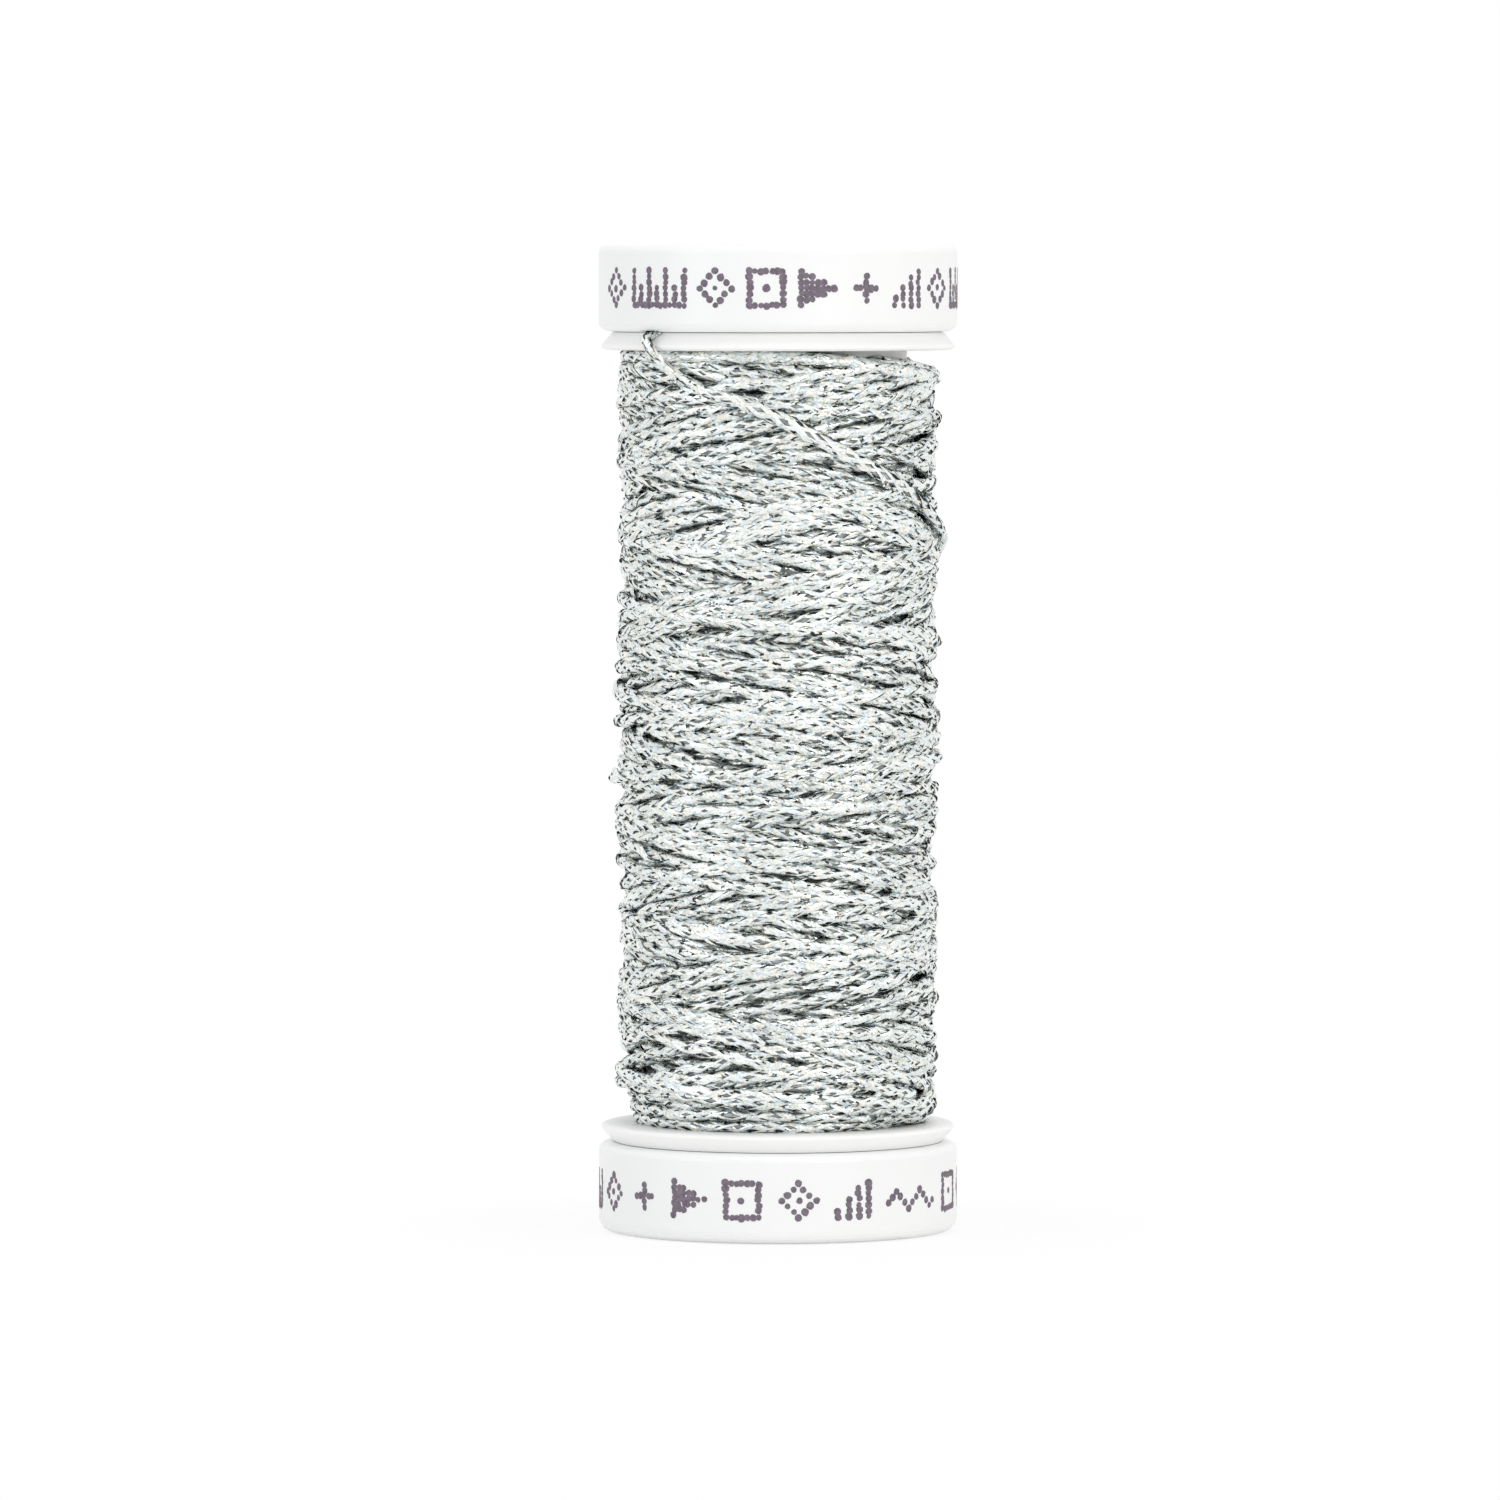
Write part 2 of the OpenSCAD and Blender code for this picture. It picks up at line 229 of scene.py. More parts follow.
def smooth(values, width):
    """Gaussian smoothing along the first axis, with the ends held."""
    reach = max(1, int(3 * width))
    kernel = np.exp(-0.5 * (np.arange(-reach, reach + 1) / width) ** 2)
    padded = np.concatenate([np.repeat(values[:1], reach), values, np.repeat(values[-1:], reach)])
    return np.convolve(padded, kernel / kernel.sum(), mode="valid")


def wander(count, width):
    """Smooth noise of about unit spread."""
    return smooth(rng.standard_normal(count), width) * math.sqrt(2 * math.sqrt(math.pi) * width)


def place(az, z, r):
    """Points at an azimuth, a height and a radius."""
    return np.stack([r * np.sin(az), -r * np.cos(az), z], axis=-1)


def distances(points):
    """Distance travelled along a path at each of its points."""
    return np.concatenate([[0], np.cumsum(np.linalg.norm(np.diff(points, axis=0), axis=1))])


def mesh_object(name, verts, quads, material, flat=True, glint=None):
    """An object from vertices in millimetres and four-cornered faces."""
    verts = np.asarray(verts, dtype=np.float32) * MM
    quads = np.asarray(quads, dtype=np.int32)
    mesh = bpy.data.meshes.new(name)
    mesh.vertices.add(len(verts))
    mesh.vertices.foreach_set("co", verts.ravel())
    mesh.loops.add(quads.size)
    mesh.loops.foreach_set("vertex_index", quads.ravel())
    mesh.polygons.add(len(quads))
    mesh.polygons.foreach_set("loop_start", np.arange(len(quads), dtype=np.int32) * 4)
    mesh.polygons.foreach_set("use_smooth", np.full(len(quads), not flat))
    mesh.update(calc_edges=True)
    if glint is not None:
        layer = mesh.attributes.new("glint", "FLOAT", "FACE")
        layer.data.foreach_set("value", np.asarray(glint, dtype=np.float32))
    mesh.materials.append(material)
    obj = bpy.data.objects.new(name, mesh)
    bpy.context.scene.collection.objects.link(obj)
    return obj


def tube_quads(count, sides):
    """Faces of a closed tube of four or six sides: its walls, ring by ring, then its two ends."""
    k = np.arange(sides)
    ring = np.arange(count - 1)[:, None] * sides
    across = (k + 1) % sides
    walls = np.stack([ring + k, ring + across, ring + sides + across, ring + sides + k], axis=-1)
    fan = np.array([[3, 2, 1, 0], [5, 4, 3, 0]][:sides // 2 - 1])
    last = (count - 1) * sides + fan[:, ::-1]
    return np.concatenate([walls.reshape(-1, 4), fan, last])


# ---------------------------------------------------------------- materials
def new_material(name):
    mat = bpy.data.materials.new(name)
    mat.use_nodes = True
    nodes, links = mat.node_tree.nodes, mat.node_tree.links
    return mat, nodes, links, nodes["Principled BSDF"]


def colour_ramp(nodes, stops):
    node = nodes.new("ShaderNodeValToRGB")
    elements = node.color_ramp.elements
    while len(elements) < len(stops):
        elements.new(0.5)
    for element, (position, colour) in zip(elements, stops):
        element.position = position
        element.color = (*colour, 1)
    return node


def noise_of(nodes, links, scale, detail=2):
    """Noise in the object's own coordinates, with so many waves to the metre."""
    coord = nodes.new("ShaderNodeTexCoord")
    noise = nodes.new("ShaderNodeTexNoise")
    noise.inputs["Scale"].default_value = scale
    noise.inputs["Detail"].default_value = detail
    links.new(coord.outputs["Object"], noise.inputs["Vector"])
    return noise


STREAKS = 1.3


def film_material():
    """Metallised film: each facet's tone is a painted glint, with fine streaks and a cool to warm tint
    that paints coloured reflections.
    """
    mat, nodes, links, bsdf = new_material("silver_film")
    # A painted reflection tint, cool in places and warm in others
    hue = noise_of(nodes, links, 3000)
    tint = colour_ramp(nodes, [(0.35, (0.88, 0.97, 1)), (0.65, (1, 0.985, 0.88))])
    links.new(hue.outputs["Fac"], tint.inputs["Fac"])
    # Each facet's painted glint tone, read from the mesh
    facet = nodes.new("ShaderNodeAttribute")
    facet.attribute_name = "glint"
    noise = noise_of(nodes, links, 7500, 1)
    spread = nodes.new("ShaderNodeMath")
    spread.operation = "MULTIPLY_ADD"
    spread.inputs[1].default_value = STREAKS
    links.new(noise.outputs["Fac"], spread.inputs[0])
    # The noise's mean is a half, so this keeps the facet's tone as the mean of its streaks
    shift = nodes.new("ShaderNodeMath")
    shift.operation = "ADD"
    shift.inputs[1].default_value = -STREAKS / 2
    links.new(facet.outputs["Fac"], shift.inputs[0])
    links.new(shift.outputs["Value"], spread.inputs[2])
    ramp = colour_ramp(nodes, [
        (0.0, (0.012, 0.014, 0.015)),
        (0.2, (0.265, 0.278, 0.286)),
        (0.45, (0.66, 0.679, 0.689)),
        (0.7, (0.82, 0.827, 0.84)),
        (0.95, (1, 0.99, 1)),
    ])
    links.new(spread.outputs["Value"], ramp.inputs["Fac"])
    tinted = nodes.new("ShaderNodeMix")
    tinted.data_type = "RGBA"
    tinted.blend_type = "MULTIPLY"
    tinted.inputs[0].default_value = 1
    # A Mix node's colour sockets are 6 and 7, and its colour result is 2
    links.new(ramp.outputs["Color"], tinted.inputs[6])
    links.new(tint.outputs["Color"], tinted.inputs[7])
    links.new(tinted.outputs[2], bsdf.inputs["Base Color"])
    bsdf.inputs["Metallic"].default_value = 0.7
    bsdf.inputs["Roughness"].default_value = 0.19
    return mat


def heart_material():
    mat, nodes, links, bsdf = new_material("braid_heart")
    noise = noise_of(nodes, links, 2500)
    ramp = colour_ramp(nodes, [(0.35, (0.3, 0.32, 0.322)), (0.65, (0.6, 0.635, 0.63))])
    links.new(noise.outputs["Fac"], ramp.inputs["Fac"])
    links.new(ramp.outputs["Color"], bsdf.inputs["Base Color"])
    bsdf.inputs["Roughness"].default_value = 0.6
    return mat


def plastic_material(name, colour, roughness):
    """Moulded plastic with a faint cloudiness and a fine orange peel."""
    mat, nodes, links, bsdf = new_material(name)
    noise = noise_of(nodes, links, 220, 4)
    ramp = colour_ramp(nodes, [(0.3, tuple(0.985 * c for c in colour)), (0.7, colour)])
    links.new(noise.outputs["Fac"], ramp.inputs["Fac"])
    links.new(ramp.outputs["Color"], bsdf.inputs["Base Color"])
    peel = noise_of(nodes, links, 900, 3)
    bump = nodes.new("ShaderNodeBump")
    bump.inputs["Strength"].default_value = 0.12
    bump.inputs["Distance"].default_value = 0.00002
    links.new(peel.outputs["Fac"], bump.inputs["Height"])
    links.new(bump.outputs["Normal"], bsdf.inputs["Normal"])
    bsdf.inputs["Roughness"].default_value = roughness
    return mat


def ink_material():
    mat, nodes, links, bsdf = new_material("ink")
    noise = noise_of(nodes, links, 4000)
    ramp = colour_ramp(nodes, [(0.3, (0.13, 0.105, 0.135)), (0.7, (0.22, 0.18, 0.225))])
    links.new(noise.outputs["Fac"], ramp.inputs["Fac"])
    links.new(ramp.outputs["Color"], bsdf.inputs["Base Color"])
    bsdf.inputs["Roughness"].default_value = 0.7
    return mat


FILM = film_material()
HEART = heart_material()
CAP_PLASTIC = plastic_material("cap_plastic", (0.925, 0.935, 0.931), 0.3)
BARREL_PLASTIC = plastic_material("barrel_plastic", (0.965, 0.967, 0.96), 0.38)
INK = ink_material()


# ---------------------------------------------------------------- the thread's path
def inner_knots():
    """Turns and heights where the guide turns back as it lays the inner turns."""
    knots = [(0.0, LOW_Z)]
    up = True
    while knots[-1][0] < INNER_TURNS - LAST_LEG:
        leg = (CYCLE_TURNS + rng.normal(0, CYCLE_SPREAD)) / 2
        slack = (TOP_SLACK if up else LOW_SLACK) * rng.random() ** 2
        knots.append((knots[-1][0] + leg, HIGH_Z - slack if up else LOW_Z + LOW_RISE + slack))
        up = not up
    while knots[-1][0] > INNER_TURNS - LAST_JOIN:
        knots.pop()
    return knots


def outer_knots():
    """The height at the end of each outer turn, which strays from the guide's even course."""
    course = [0, REACHES_TOP, LEAVES_TOP, REACHES_LOW, OUTER_TURNS]
    heights = [LOW_Z, HIGH_Z, HIGH_Z, LOW_Z, NIP_Z - TAIL_LYING[0][1]]
    knots = []
    for turn in range(OUTER_TURNS + 1):
        even = np.interp(turn, course, heights)
        stray = OUTER_UNEVEN * rng.normal() if 0 < turn < OUTER_TURNS else 0
        knots.append((INNER_TURNS + turn, np.clip(even + stray, LOW_Z, HIGH_Z)))
    return knots


def guide_heights(turns, per_turn):
    """Height of the thread as it leaves the guide, turn by turn."""
    knot_turns, knot_heights = np.array(inner_knots() + outer_knots()).T
    heights = smooth(np.interp(turns, knot_turns, knot_heights), GUIDE_SMOOTHING * per_turn)
    slow = SLOW_SWAY * np.clip((INNER_TURNS - turns) / SWAY_FADE, OUTER_SWAY, 1)
    slow = slow * wander(len(turns), SLOW_REACH * per_turn)
    return heights + (slow + QUICK_SWAY * wander(len(turns), QUICK_REACH * per_turn))


def lying_heights(turns, az, tail, per_turn):
    """Heights of the turns and of the tail that lies on them, with the pack's rounded top corner."""
    z = guide_heights(turns, per_turn)
    lying_az, lying_depth = np.array(TAIL_LYING).T
    tail_z = NIP_Z - np.interp(np.degrees(az), lying_az[::-1], lying_depth[::-1])
    z = np.clip(smooth(np.where(tail, tail_z, z), TAIL_JOIN), LOW_Z, HIGH_Z)
    growth = np.clip(turns / INNER_TURNS, 0, 1) ** 2
    facing = np.clip(np.cos(az - math.radians(CORNER_AZ)), 0, 1) ** 2
    corner = np.where(tail, 0, (CORNER_LEAST + CORNER_GROWTH * growth) * facing)
    return np.minimum(z, HIGH_Z - corner), corner


def lift_off(turns, az, z, tail):
    """How far the tail, the loose places and the swellings stand off what lies below."""
    lift = np.interp(np.degrees(az), TAIL_LIFT_AZ, TAIL_LIFT) * tail
    for turn, azimuth, rise, reach in LOOSE:
        centre = INNER_TURNS + turn + (END_AZ - azimuth) / 360
        lift += rise * np.exp(-0.5 * ((turns - centre) * 360 / reach) ** 2)
    growth = np.clip(turns / INNER_TURNS, 0, 1) ** BULGE_GROWTH
    for azimuth, height, rise, reach in BULGES:
        aside = np.mod(np.degrees(az) - azimuth + 180, 360) - 180
        near = np.exp(-0.5 * ((z - height) / reach) ** 2 - 0.5 * (aside / BULGE_SPREAD) ** 2)
        lift += rise * growth * near
    return lift


def map_rows(z):
    """The rows of the height map nearest to these heights."""
    return np.rint((z - LOW_FACE_Z) / ROW_H).astype(int)


def lay_thread():
    """Winds the thread over a height map turn by turn, so that it crosses over what lies below.

    Gives its azimuths, heights, radii and which steps are seen, and the step where the tail begins.
    """
    per_turn = round(TAU * (PACK_R - HALF_THICK) / STEP)
    count = int((TURNS + (END_AZ - TAIL_LIES_TO) / 360) * per_turn) + 1
    turns = np.arange(count) / per_turn
    az = math.radians(END_AZ) + TAU * (TURNS - turns)
    tail = turns >= TURNS
    z, corner = lying_heights(turns, az, tail, per_turn)
    lift = lift_off(turns, az, z, tail)

    rows = int((TOP_FACE_Z - LOW_FACE_Z) / ROW_H) + 1
    surface = np.full((MAP_COLUMNS, rows), BARREL_R)
    reach = int(HALF_WIDTH / ROW_H)
    offsets = np.arange(-reach, reach + 1)
    profile = HALF_THICK * np.sqrt(1 - (offsets * ROW_H / (HALF_WIDTH + PROFILE_ROOM)) ** 2)
    box = np.ones(len(offsets)) / len(offsets)
    slides = np.arange(-SLIDE / ROW_H, SLIDE / ROW_H + 1, SLIDE_ROWS).astype(int)
    col = np.floor(np.mod(az, TAU) / TAU * MAP_COLUMNS).astype(int) % MAP_COLUMNS
    r = np.empty_like(z)
    held_slide = 0.0
    for first in range(0, count, per_turn):
        part = slice(first, min(first + per_turn, count))
        # The turn slides aside to the lowest place near it
        bed = np.apply_along_axis(lambda v: np.convolve(v, box, mode="same"), 1, surface[col[part]])
        at = np.clip(map_rows(z[part])[:, None] + slides, reach, rows - 1 - reach)
        stiff = INNER_STIFF if first < INNER_TURNS * per_turn else OUTER_STIFF
        cost = np.take_along_axis(bed, at, axis=1) + stiff * (slides * ROW_H) ** 2
        weight = np.exp(-(cost - cost.min(axis=1, keepdims=True)) / GROOVE_SENSE)
        slide = (weight * slides * ROW_H).sum(axis=1) / weight.sum(axis=1)
        held = np.full(SLIDE_HELD, held_slide)
        slide = smooth(np.concatenate([held, slide]), SLIDE_SMOOTHING)[SLIDE_HELD:]
        held_slide = slide[-1]
        if first < TURNS * per_turn:
            z[part] = np.clip(z[part] + slide, LOW_Z, HIGH_Z - corner[part])
        # There it rests on what lies below, pressed in where the pack is full
        under_rows = np.clip(map_rows(z[part])[:, None] + offsets, 0, rows - 1)
        under = surface[col[part, None], under_rows] + profile
        rest = HIGHEST_SHARE * under.max(axis=1) + MEAN_SHARE * under.mean(axis=1)
        rest = np.where(rest > SQUASH_R, SQUASH_R + SQUASH_KEEP * (rest - SQUASH_R), rest)
        context = np.concatenate([r[max(first - BRIDGE_HELD, 0):first], rest])
        bridged = smooth(context, BRIDGE)[-len(rest):]
        r[part] = np.maximum(bridged, rest - SINK) + lift[part]
        top = r[part, None] + profile
        for shift in range(STEP_COLUMNS):
            columns = (col[part, None] + shift) % MAP_COLUMNS
            np.maximum.at(surface, (columns, under_rows), top)
    last_rows = np.clip(map_rows(z)[:, None] + offsets, 0, rows - 1)
    showing = r[:, None] + profile >= surface[col[:, None], last_rows] - SEEN_DEPTH
    return az, z, r, showing.sum(axis=1) >= SEEN_ROWS, TURNS * per_turn


def tail_rise(az, z, r):
    """The tail's way from where it stops lying, over the flange's rim and into the nip."""
    route_az, depth, radius, pressed = np.array(TAIL_ROUTE).T
    leaving = np.clip(1 - np.arange(len(radius)) / LEAVING_POINTS, 0, 1)
    radius = radius + (r - radius[0]) * leaving
    points = place(np.radians(route_az), NIP_Z - depth, radius)
    points[0] = place(az, z, r)
    along = distances(points)
    fine_step = STEP / 2
    samples = np.arange(1, int(along[-1] / fine_step) + 1) * fine_step
    fine = np.stack([np.interp(samples, along, p) for p in points.T], axis=1)
    return fine, np.interp(samples, along, pressed)


def radial_frames(points):
    """Tangents of a path, and normals that point away from the spool's axis."""
    t = unit(np.gradient(points, axis=0))
    out = unit(points * [1, 1, 0])
    n = unit(out - (out * t).sum(axis=1, keepdims=True) * t)
    return t, n


def carry(t, n, first):
    """Carries the normals on from a place along the path without twist."""
    n = n.copy()
    for i in range(first, len(n)):
        n[i] = unit(n[i - 1] - (n[i - 1] @ t[i]) * t[i])
    return n


# ---------------------------------------------------------------- the braid
def facet_tones(side, glitter):
    """Tones of a lane of facets, each held for a step or two: painted glints, with dark flecks of
    painted shade that gather at the sides.
    """
    flecks, dimmest = glitter
    count = len(side)
    # Each facet's tone is a painted glint, bright or dim as that facet's reflection would be
    tone = np.interp(rng.random(count), TONE_SHARES, TONES)
    tone = np.repeat(tone, rng.integers(1, LONGEST_FACET + 1, size=count))[:count]
    tone = dimmest + (1 - dimmest) * tone
    # Dark flecks of painted shade, more of them where the braid's sides lie in shade
    fleck = rng.random(count) < flecks * (MIDDLE_FLECKS + SIDE_FLECKS * side)
    return np.where(fleck, SHADE_FLECK_TONE * rng.random(count), tone)


def ribbon_path(k, points, t, n, wide, thick, travelled):
    """Middle, across and outward directions of one ribbon, and how far it is on the braid's side."""
    count = len(points)
    s = np.cross(t, n)
    # Odd and even ribbons wind opposite ways, and each rises where it crosses over the others
    way = 1 if k % 2 else -1
    turn = TAU * travelled / BRAID_LAY
    theta = way * turn + TAU * (k // 2) / (RIBBONS / 2) + ROUND_STRAY * wander(count, ROUND_REACH)
    over = way * np.cos(RIBBONS / 2 * turn + TAU * (k // 2) / 2)
    snag = SNAG_RISE * np.clip(wander(count, SNAG_REACH) - SNAG_RARITY, 0, 1)
    off = RIBBON_AT + CROSSING_RISE * over + OFF_STRAY * wander(count, OFF_REACH) + snag
    c, d = np.cos(theta)[:, None], np.sin(theta)[:, None]
    centre = points + off[:, None] * (wide * c * s + thick * d * n)
    normal = unit(thick * c * s + wide * d * n)
    along = unit(np.gradient(centre, axis=0))
    normal = unit(normal - (normal * along).sum(axis=1, keepdims=True) * along)
    across = np.cross(along, normal)
    tilt = (TILT_STRAY * wander(count, TILT_REACH))[:, None]
    tilted = across * np.cos(tilt) + normal * np.sin(tilt)
    return centre, tilted, normal * np.cos(tilt) - across * np.sin(tilt), c[:-1, 0] ** 4


def ribbon_parts(points, t, n, wide, thick, travelled, sheen, glitter):
    """Each film ribbon of a stretch of braid: rings of four corners, and its facets' tones."""
    count = len(points)
    wide, thick = wide[:, None], thick[:, None]
    for k in range(RIBBONS):
        centre, across, normal, side = ribbon_path(k, points, t, n, wide, thick, travelled)
        stray = np.clip(wander(count, WIDTH_REACH), WIDTH_LEAST, WIDTH_MOST)
        half = RIBBON_W / 2 * (1 + WIDTH_STRAY * stray)[:, None]
        crown = RIBBON_CROWN * (thick / HALF_THICK) * normal
        rings = np.stack([
            centre - half * across - EDGE_DROP * crown,
            centre - CROWN_AT * half * across + crown,
            centre + CROWN_AT * half * across + crown,
            centre + half * across - EDGE_DROP * crown,
        ], axis=1)
        lanes = [facet_tones(side, glitter) for _ in range(LANES)]
        tones = np.stack(lanes + [np.full(count - 1, UNDER_TONE)], axis=1)
        # Painted sheen along the braid, and painted shade down its sides
        tones *= (sheen[:-1] * (1 - SIDE_SHADE * side))[:, None]
        yield rings, np.concatenate([tones.ravel(), [UNDER_TONE, UNDER_TONE]])


class BraidPiece:
    """Gathers ribbons, and makes a piece of them whenever there are enough."""

    def __init__(self, name, node):
        self.name, self.node, self.made = name, node, 0
        self.clear()

    def clear(self):
        self.corners, self.quads, self.glint, self.count = [], [], [], 0

    def add(self, rings, tones):
        self.corners.append(rings.reshape(-1, 3))
        self.quads.append(tube_quads(len(rings), 4) + self.count)
        self.glint.append(tones)
        self.count += len(self.corners[-1])
        if self.count > PIECE_CORNERS:
            self.flush()

    def flush(self):
        if not self.corners:
            return
        piece = mesh_object(f"{self.name}_{self.made:02d}", np.concatenate(self.corners),
                            np.concatenate(self.quads), FILM, glint=np.concatenate(self.glint))
        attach(piece, "spool")
        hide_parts(self.node)
        self.made += 1
        self.clear()


def runs_of(mask, grow):
    """Stretches where mask holds, widened by grow samples each way."""
    wide = np.convolve(mask.astype(int), np.ones(2 * grow + 1), mode="same") > 0
    edges = np.flatnonzero(np.diff(np.concatenate([[0], wide.astype(int), [0]])))
    return list(zip(edges[::2], edges[1::2]))


def smooth_join(path, first):
    """Rounds the path from one of its points on, and leaves its end where it is."""
    for _ in range(RISE_PASSES):
        before, here, after = path[first - 1:-2], path[first:-1], path[first + 1:]
        path[first:-1] = (before + 2 * here + after) / 4


def braid_sizes(steps, rise_start, tail_start, pressed):
    """Half width and half thickness of the braid: slack where the tail lies, taut where it rises."""
    taut = np.clip((steps - rise_start) / TAUT_STEPS + 1, 0, 1)
    slack = np.clip((steps - tail_start) / SLACK_STEPS, 0, 1) - taut
    wide = HALF_WIDTH + (TAIL_WIDTH - HALF_WIDTH) * taut + (SLACK_WIDTH - HALF_WIDTH) * slack
    thick = HALF_THICK + (TAIL_THICK - HALF_THICK) * taut
    return wide + (PRESSED_WIDTH - wide) * pressed, thick + (PRESSED_THICK - thick) * pressed


# The whole thread, from its start at the barrel to its end in the nip
az, z, r, seen, tail_start = lay_thread()
rise_start = len(az)
rising, pressed = tail_rise(az[-1], z[-1], r[-1])
path = np.concatenate([place(az, z, r), rising])
smooth_join(path, rise_start - RISE_JOIN)
travelled = distances(path)
tangents, normals = radial_frames(path)
normals = carry(tangents, normals, rise_start - CARRY_STEPS)
pressed = np.concatenate([np.zeros(rise_start), pressed])
half_wide, half_thick = braid_sizes(np.arange(len(path)), rise_start, tail_start, pressed)
seen[tail_start - TAIL_LEAD:] = True
sheen = 1 + SHEEN * np.clip(wander(len(path), SHEEN_REACH), -SHEEN_MOST, SHEEN_MOST)


def heart():
    """The thin core that the ribbons wind round, over the thread's whole length."""
    angle = np.arange(HEART_SIDES) / HEART_SIDES * TAU
    some = np.unique(np.append(np.arange(0, len(path), HEART_STEP), len(path) - 1))
    side = np.cross(tangents, normals)
    rings = path[some, None] + HEART_SHARE * (
        (half_wide[some, None] * np.cos(angle))[..., None] * side[some, None]
        + (half_thick[some, None] * np.sin(angle))[..., None] * normals[some, None])
    quads = tube_quads(len(rings), HEART_SIDES)
    piece = mesh_object("thread_heart", rings.reshape(-1, 3), quads, HEART, flat=False)
    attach(piece, "spool")
    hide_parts("thread_core")


def braid(piece, first, last, glitter):
    """Adds the ribbons of one stretch of the thread to a piece."""
    span = slice(first, last)
    for rings, tones in ribbon_parts(path[span], tangents[span], normals[span],
                                     half_wide[span], half_thick[span], travelled[span],
                                     sheen[span], glitter):
        piece.add(rings, tones)


heart()
winding = BraidPiece("thread_braid", "thread_winding")
for first, last in runs_of(seen[:tail_start], RUN_ENDS):
    if last - first >= SHORTEST_RUN:
        braid(winding, first, last, PACK_GLITTER)
winding.flush()
tail_piece = BraidPiece("tail_braid", "thread_tail")
braid(tail_piece, tail_start - TAIL_OVERLAP, len(path), TAIL_GLITTER)
tail_piece.flush()

# ---------------------------------------------------------------- the CAD nodes' plastics
PLASTICS = {"barrel": BARREL_PLASTIC, "top_cap": CAP_PLASTIC, "bottom_cap": CAP_PLASTIC}
for node, material in PLASTICS.items():
    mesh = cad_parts[node].data
    mesh.materials.clear()
    mesh.materials.append(material)

# ---------------------------------------------------------------- ink marks
# Plain signs of seven rows of dots, which say nothing
GLYPHS = {
    "lozenge": "...#... ..#.#.. .#...#. #..#..# .#...#. ..#.#.. ...#...",
    "scale": "#...#...#...# #...#...#...# #...#...#...# "
             "#.#.#.#.#.#.# #.#.#.#.#.#.# #.#.#.#.#.#.# #############",
    "plus": "....... ...#... ...#... .#####. ...#... ...#... .......",
    "box": "####### #.....# #.....# #..#..# #.....# #.....# #######",
    "wedge": "#...... ###.... #####.. ####### #####.. ###.... #......",
    "wave": "............. ............. ..#.....#.... "
            ".#.#...#.#... #...#.#...#.# .....#.....#. .............",
    "bars": "......# ....#.# ....#.# ..#.#.# ..#.#.# #.#.#.# #.#.#.#",
}
MIDDLE_ROW = 3
TOP_MARKS = ["lozenge", "scale", "lozenge", "box", "wedge", "plus", "bars", "lozenge", "scale",
             "wedge", "box"]
BOTTOM_MARKS = ["scale", "lozenge", "plus", "wedge", "box", "lozenge", "bars", "wave", "box",
                "lozenge", "scale"]
DROP_SIDES = 8
DROP_PITCH = 0.31
DROP_R = 0.2
# How far a droplet stands out of the cap, and how far it reaches into it
DROP_RISE, DROP_ROOT = 0.012, 0.05
# How droplets differ in size, in the run of their edge and in place
SIZE_STRAY, EDGE_STRAY, PLACE_STRAY = 0.1, 0.06, 0.03


def drop_quads():
    """Faces of a droplet: its wall, and an outer and an inner end of three faces each."""
    wall = [[k, (k + 1) % DROP_SIDES, DROP_SIDES + (k + 1) % DROP_SIDES, DROP_SIDES + k]
            for k in range(DROP_SIDES)]
    outer = [[8, 9, 10, 11], [8, 11, 12, 15], [12, 13, 14, 15]]
    inner = [[3, 2, 1, 0], [7, 4, 3, 0], [7, 6, 5, 4]]
    return np.array(wall + outer + inner)


def droplet(x, z):
    """Corners of one droplet, at a length round the cap and a height."""
    angle = (np.arange(DROP_SIDES) + 0.5) / DROP_SIDES * TAU
    size = DROP_R * (1 + SIZE_STRAY * rng.standard_normal())
    size = size * (1 + EDGE_STRAY * rng.standard_normal(DROP_SIDES))
    x += PLACE_STRAY * rng.standard_normal()
    z += PLACE_STRAY * rng.standard_normal()
    around, heights = (x + size * np.cos(angle)) / CAP_R, z + size * np.sin(angle)
    return np.concatenate([place(around, heights, CAP_R - DROP_ROOT),
                           place(around, heights, CAP_R + DROP_RISE)])


def ink_row(name, body, glyphs, middle_z, start_deg, gap):
    """A line of signs printed in droplets round a cap."""
    drops = []
    x = math.radians(start_deg) * CAP_R
    for glyph in glyphs:
        rows = GLYPHS[glyph].split()
        for i, row in enumerate(rows):
            for j, cell in enumerate(row):
                if cell == "#":
                    height = middle_z + (MIDDLE_ROW - i) * DROP_PITCH
                    drops.append(droplet(x + j * DROP_PITCH, height))
        x += (len(rows[0]) - 1) * DROP_PITCH + gap
    quads = [drop_quads() + k * len(drops[0]) for k in range(len(drops))]
    marks = mesh_object(name, np.concatenate(drops), np.concatenate(quads), INK)
    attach(marks, body)


ink_row("ink_marks_top", "tail_cap", TOP_MARKS, middle_z=52.65, start_deg=-69, gap=1.0)
ink_row("ink_marks_bottom", "base_cap", BOTTOM_MARKS, middle_z=2.45, start_deg=-100, gap=1.3)


# ---------------------------------------------------------------- stage, light and camera
SHOWING_RAYS = ["Is Camera Ray", "Is Glossy Ray", "Is Transmission Ray"]
# The floor is this wide, and lies this far below the object so that the two don't coincide
FLOOR_SIZE, FLOOR_DROP = 6000, 0.03

# The photo's width and the camera's focal length, both in the photo's pixels
PHOTO_PX, LENS_PX = 1500, 10750
SENSOR_MM = 36
CAMERA_AT, CAMERA_AIM = (-1.56, -600, 54.74), (-1.56, 0, 26.84)
LAMP_AIM = (0, 0, 28)


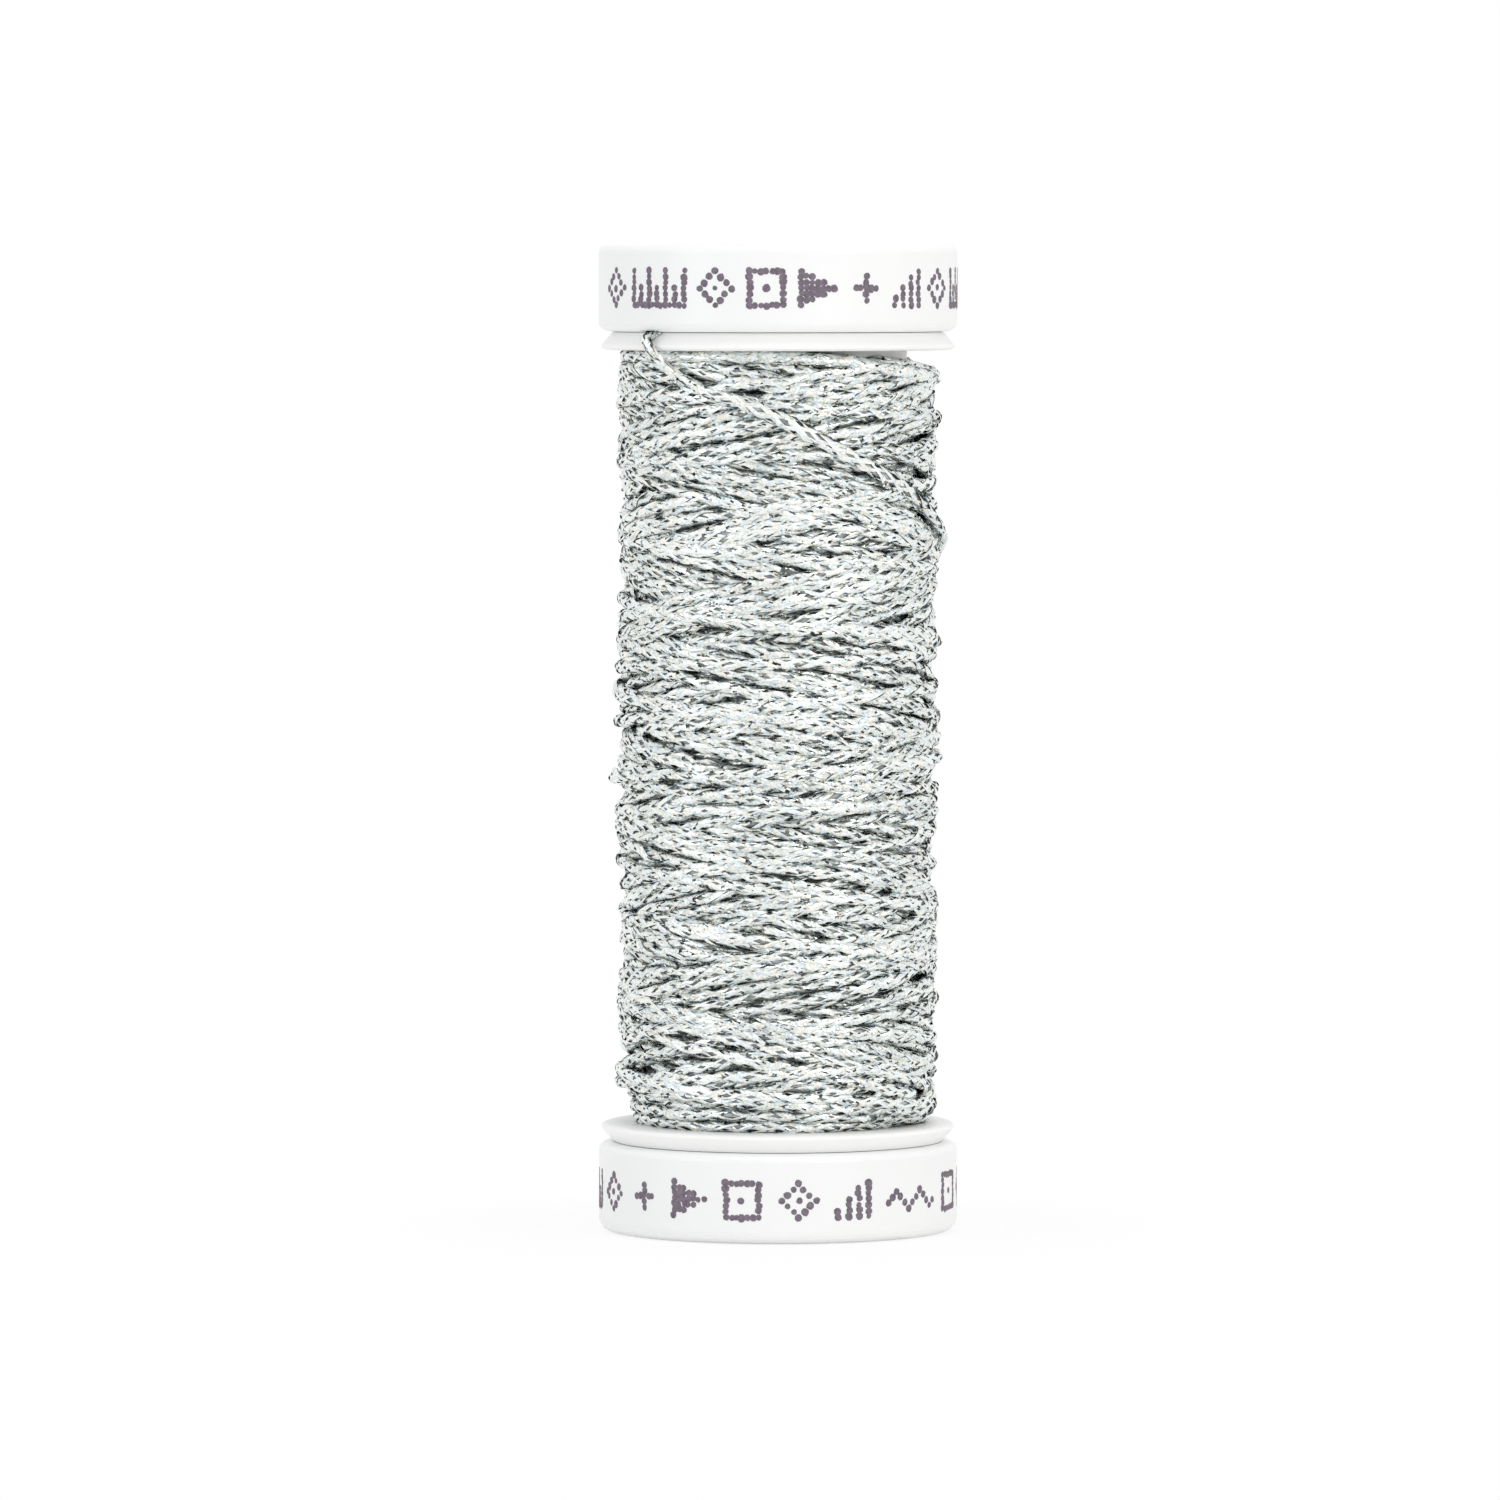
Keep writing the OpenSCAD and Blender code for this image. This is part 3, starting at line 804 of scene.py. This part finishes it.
def seen_directly(nodes, links):
    """1 for the rays that show a surface or reflect it, and 0 for those that light the object."""
    path_node = nodes.new("ShaderNodeLightPath")
    found = path_node.outputs[SHOWING_RAYS[0]]
    for name in SHOWING_RAYS[1:]:
        either = nodes.new("ShaderNodeMath")
        either.operation = "MAXIMUM"
        links.new(found, either.inputs[0])
        links.new(path_node.outputs[name], either.inputs[1])
        found = either.outputs["Value"]
    return found


def stage():
    """A pale floor that fades to white round the object's own shadow."""
    bpy.ops.mesh.primitive_plane_add(size=FLOOR_SIZE * MM, location=(0, 0, -FLOOR_DROP * MM))
    floor = bpy.context.object
    floor.name = "floor"
    mat, nodes, links, bsdf = new_material("floor")
    bsdf.inputs["Base Color"].default_value = (0.95, 0.945, 0.935, 1)
    bsdf.inputs["Roughness"].default_value = 0.9
    shown = seen_directly(nodes, links)
    coord = nodes.new("ShaderNodeTexCoord")
    length = nodes.new("ShaderNodeVectorMath")
    length.operation = "LENGTH"
    links.new(coord.outputs["Object"], length.inputs[0])
    fade = nodes.new("ShaderNodeMapRange")
    fade.interpolation_type = "SMOOTHSTEP"
    fade.inputs["From Min"].default_value = 0.01
    fade.inputs["From Max"].default_value = 0.03
    fade.inputs["To Min"].default_value = 0.86
    links.new(length.outputs["Value"], fade.inputs["Value"])
    share = nodes.new("ShaderNodeMath")
    share.operation = "MULTIPLY"
    links.new(fade.outputs["Result"], share.inputs[0])
    links.new(shown, share.inputs[1])
    glow = nodes.new("ShaderNodeEmission")
    mix = nodes.new("ShaderNodeMixShader")
    links.new(share.outputs["Value"], mix.inputs["Fac"])
    links.new(bsdf.outputs["BSDF"], mix.inputs[1])
    links.new(glow.outputs["Emission"], mix.inputs[2])
    links.new(mix.outputs["Shader"], nodes["Material Output"].inputs["Surface"])
    floor.data.materials.append(mat)


def sky():
    """Soft light from all round, in front of a backdrop that shows white."""
    world = bpy.data.worlds.new("studio")
    bpy.context.scene.world = world
    world.use_nodes = True
    nodes, links = world.node_tree.nodes, world.node_tree.links
    ambient = nodes["Background"]
    ambient.inputs["Color"].default_value = (1, 1, 1, 1)
    ambient.inputs["Strength"].default_value = 0.72
    backdrop = nodes.new("ShaderNodeBackground")
    backdrop.inputs["Color"].default_value = (1, 1, 1, 1)
    mix = nodes.new("ShaderNodeMixShader")
    links.new(seen_directly(nodes, links), mix.inputs["Fac"])
    links.new(ambient.outputs["Background"], mix.inputs[1])
    links.new(backdrop.outputs["Background"], mix.inputs[2])
    links.new(mix.outputs["Shader"], nodes["World Output"].inputs["Surface"])


def aim(obj, at, target):
    """Places a lamp or a camera, turns it to its target and shows it in the scene."""
    at, target = Vector(at), Vector(target)
    obj.location = at * MM
    obj.rotation_euler = (target - at).to_track_quat("-Z", "Y").to_euler()
    bpy.context.scene.collection.objects.link(obj)


def lamp(name, at, size, watts, colour=(1, 1, 1)):
    """A square area lamp that shines on the middle of the object."""
    data = bpy.data.lights.new(name, "AREA")
    data.color = colour
    data.size = size * MM
    data.energy = watts
    aim(bpy.data.objects.new(name, data), at, LAMP_AIM)


def camera():
    """The photo's view: from the front, and a little from above."""
    data = bpy.data.cameras.new("camera")
    data.sensor_width = SENSOR_MM
    data.lens = LENS_PX / PHOTO_PX * SENSOR_MM
    data.clip_start = 0.01
    obj = bpy.data.objects.new("camera", data)
    aim(obj, CAMERA_AT, CAMERA_AIM)
    bpy.context.scene.camera = obj


stage()
sky()
lamp("key", at=(260, -350, 180), size=200, watts=0.345, colour=(1, 0.99, 0.965))
lamp("edge", at=(380, -110, 120), size=160, watts=0.04)
lamp("fill", at=(-330, -230, 120), size=200, watts=0.16, colour=(0.9, 0.95, 1))
lamp("top", at=(0, -60, 420), size=220, watts=0.35)
camera()
bpy.context.scene.view_settings.view_transform = "Standard"
